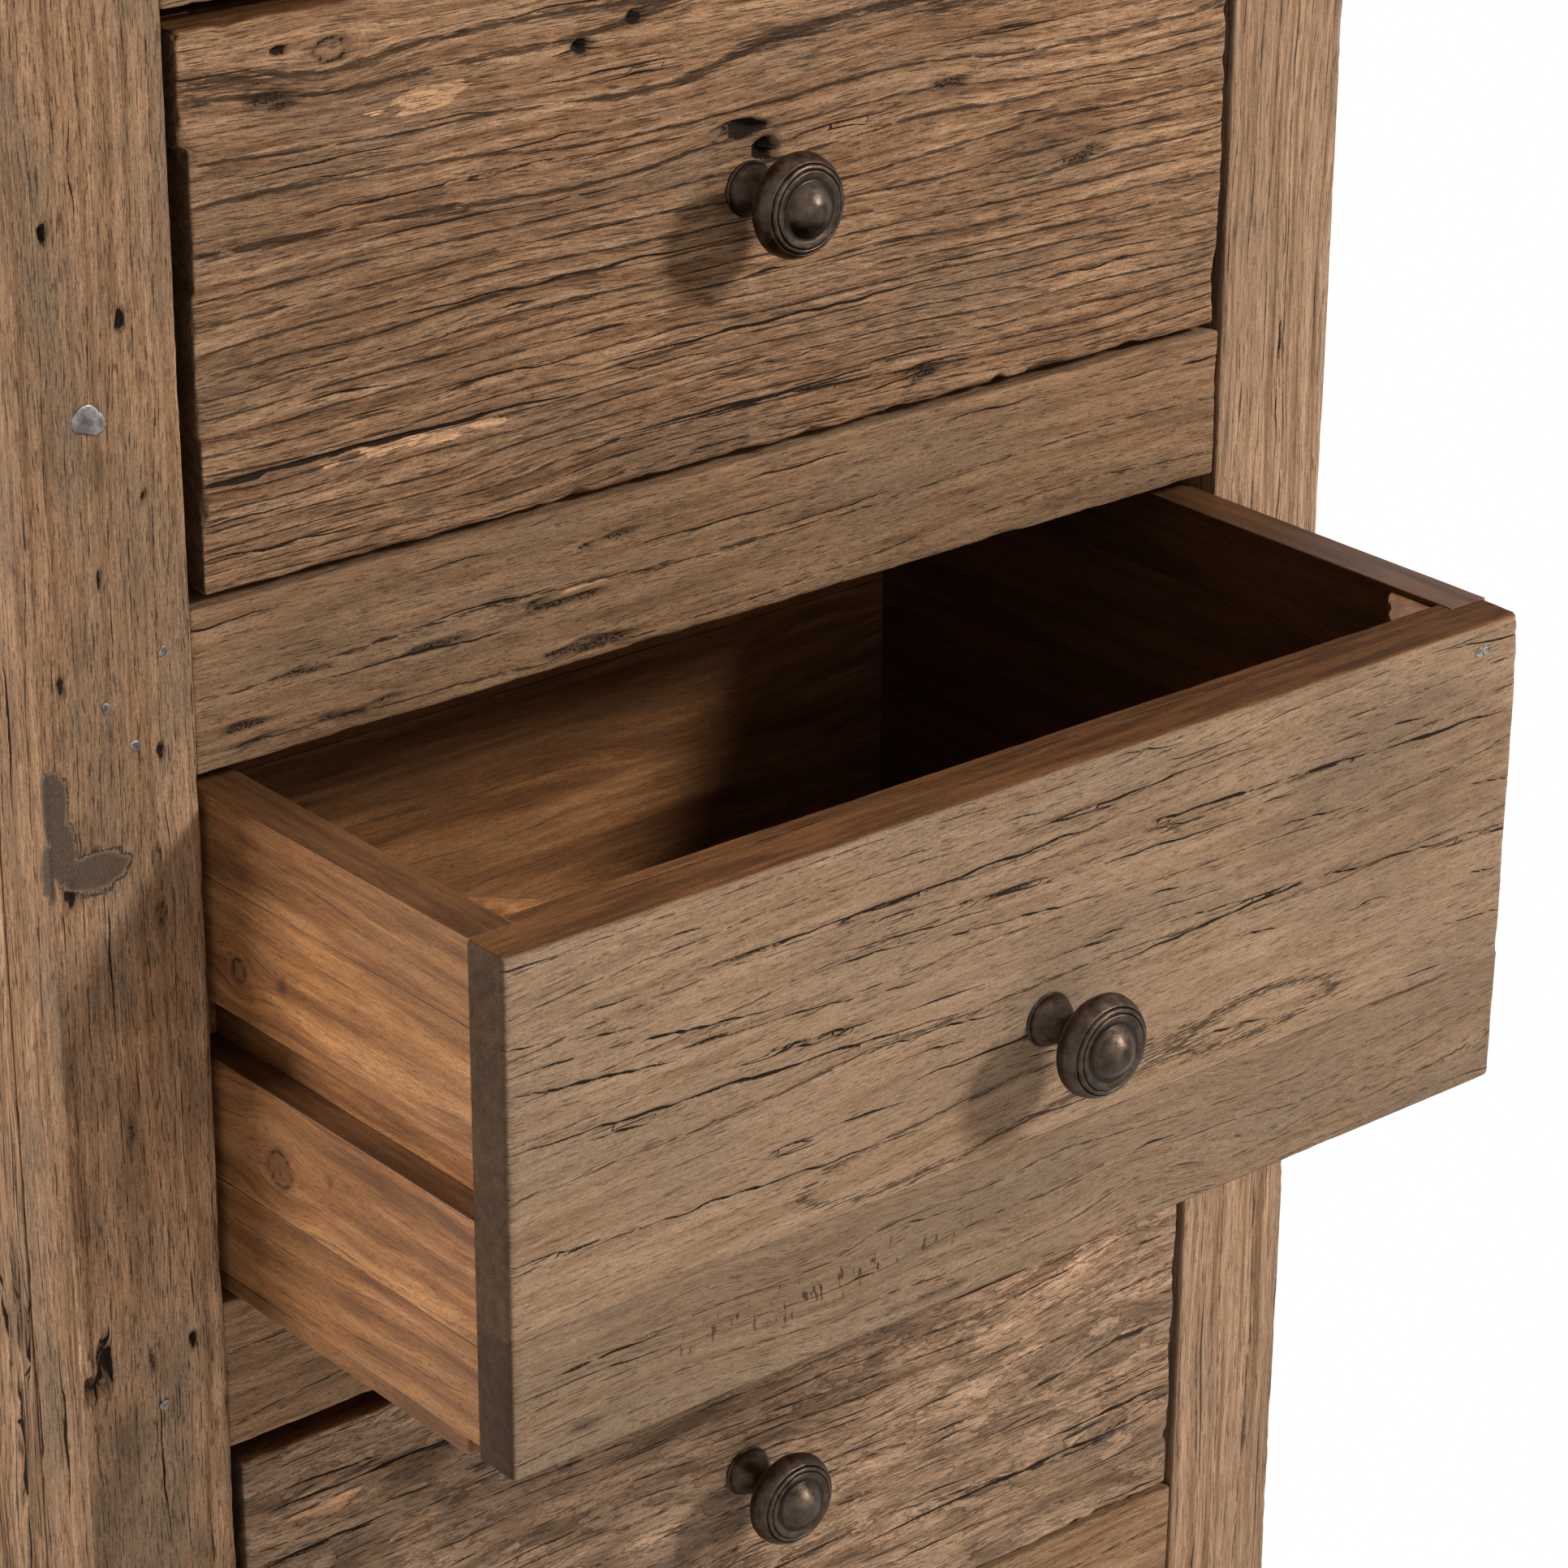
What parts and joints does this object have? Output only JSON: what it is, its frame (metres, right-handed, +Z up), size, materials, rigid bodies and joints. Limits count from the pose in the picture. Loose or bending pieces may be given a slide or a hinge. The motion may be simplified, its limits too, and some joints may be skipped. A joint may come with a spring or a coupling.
{
  "type": "chest of drawers",
  "caption": "Tall narrow chest of drawers in reclaimed wood: mortised frame on legs, inset drawers on wooden side runners, turned bronze knobs.",
  "frame": {"origin": "floor level, midway between the sides, and midway between the open drawer's knob and the back", "axes": "+Z up, the front faces -Y, +X to the right seen from the front"},
  "size_m": [0.474, 0.46, 1.14],
  "materials": {
    "reclaimed_frame": "weathered, brushed and oiled",
    "reclaimed_front": "weathered, deep open grain",
    "reclaimed_side": "weathered boards",
    "drawer_wood": "planed and stained",
    "drawer_bottom": "thin plywood, stained",
    "runner_wood": "planed",
    "back_wood": "thin panel",
    "knob_bronze": "dark patinated bronze",
    "screw_steel": "zinc"
  },
  "bodies": {
    "carcass": {"left_front_stile": "reclaimed_frame", "right_front_stile": "reclaimed_frame", "left_rear_post": "reclaimed_frame", "right_rear_post": "reclaimed_frame", "left_side_panel": "reclaimed_side", "right_side_panel": "reclaimed_side", "left_runners": "runner_wood", "right_runners": "runner_wood", "top_rail": "reclaimed_frame", "drawer_rail_1": "reclaimed_frame", "drawer_rail_2": "reclaimed_frame", "drawer_rail_3": "reclaimed_frame", "drawer_rail_4": "reclaimed_frame", "bottom_rail": "reclaimed_frame", "rear_top_rail": "reclaimed_frame", "rear_bottom_rail": "reclaimed_frame", "top_board": "reclaimed_frame", "back_panel": "back_wood"},
    "drawer_1": {"drawer_1_front": "reclaimed_front", "drawer_1_left_side": "drawer_wood", "drawer_1_right_side": "drawer_wood", "drawer_1_back": "drawer_wood", "drawer_1_bottom": "drawer_bottom", "drawer_1_corner_blocks": "drawer_wood", "drawer_1_knob": "knob_bronze", "drawer_1_knob_screw": "screw_steel"},
    "drawer_2": {"drawer_2_front": "reclaimed_front", "drawer_2_left_side": "drawer_wood", "drawer_2_right_side": "drawer_wood", "drawer_2_back": "drawer_wood", "drawer_2_bottom": "drawer_bottom", "drawer_2_corner_blocks": "drawer_wood", "drawer_2_knob": "knob_bronze", "drawer_2_knob_screw": "screw_steel"},
    "drawer_3": {"drawer_3_front": "reclaimed_front", "drawer_3_left_side": "drawer_wood", "drawer_3_right_side": "drawer_wood", "drawer_3_back": "drawer_wood", "drawer_3_bottom": "drawer_bottom", "drawer_3_corner_blocks": "drawer_wood", "drawer_3_knob": "knob_bronze", "drawer_3_knob_screw": "screw_steel"},
    "drawer_4": {"drawer_4_front": "reclaimed_front", "drawer_4_left_side": "drawer_wood", "drawer_4_right_side": "drawer_wood", "drawer_4_back": "drawer_wood", "drawer_4_bottom": "drawer_bottom", "drawer_4_corner_blocks": "drawer_wood", "drawer_4_knob": "knob_bronze", "drawer_4_knob_screw": "screw_steel"},
    "drawer_5": {"drawer_5_front": "reclaimed_front", "drawer_5_left_side": "drawer_wood", "drawer_5_right_side": "drawer_wood", "drawer_5_back": "drawer_wood", "drawer_5_bottom": "drawer_bottom", "drawer_5_corner_blocks": "drawer_wood", "drawer_5_knob": "knob_bronze", "drawer_5_knob_screw": "screw_steel"}
  },
  "joints": [
    {"name": "drawer_1_slide", "type": "slide", "parent": "carcass", "child": "drawer_1", "axis": [0, -1, 0], "range_m": [0, 0.19]},
    {"name": "drawer_2_slide", "type": "slide", "parent": "carcass", "child": "drawer_2", "axis": [0, -1, 0], "range_m": [0, 0.19]},
    {"name": "drawer_3_slide", "type": "slide", "parent": "carcass", "child": "drawer_3", "axis": [0, -1, 0], "range_m": [-0.125, 0.065]},
    {"name": "drawer_4_slide", "type": "slide", "parent": "carcass", "child": "drawer_4", "axis": [0, -1, 0], "range_m": [0, 0.19]},
    {"name": "drawer_5_slide", "type": "slide", "parent": "carcass", "child": "drawer_5", "axis": [0, -1, 0], "range_m": [0, 0.19]}
  ]
}
